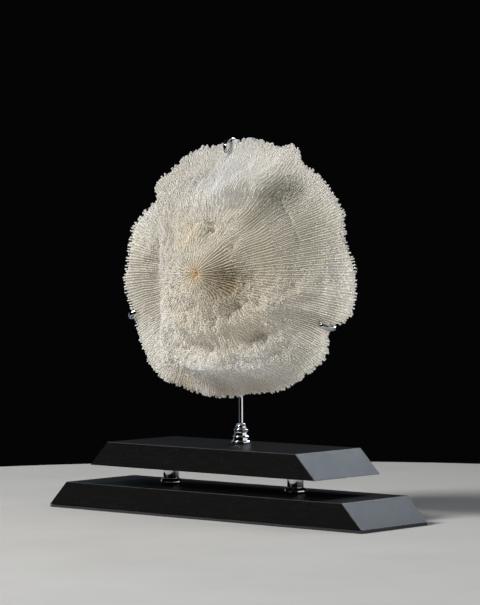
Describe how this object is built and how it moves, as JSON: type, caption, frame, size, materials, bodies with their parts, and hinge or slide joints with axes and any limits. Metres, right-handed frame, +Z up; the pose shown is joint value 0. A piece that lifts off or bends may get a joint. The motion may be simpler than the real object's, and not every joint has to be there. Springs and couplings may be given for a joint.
{
  "type": "mushroom coral on a display stand",
  "caption": "White mushroom coral skeleton facing forward, gripped by a chrome claw on a thin rod above stacked black boards with mitred ends.",
  "frame": {"origin": "centre of the underside of the pad under the lower board, on the surface it stands on", "axes": "+X along the boards to the right, the coral's face looks along -Y, +Z up"},
  "size_m": [0.2996, 0.0837, 0.2704],
  "materials": {
    "coral_skeleton": "matte",
    "chrome": "polished",
    "black_wood": "satin",
    "felt": "matte"
  },
  "bodies": {
    "root": {"coral": "coral_skeleton", "claw_top": "chrome", "claw_left": "chrome", "claw_right": "chrome", "claw_hub": "chrome", "rod": "chrome", "rod_collar": "chrome", "upper_board": "black_wood", "standoff_left": "chrome", "standoff_right": "chrome", "lower_board": "black_wood", "base_pad": "felt"}
  },
  "joints": []
}
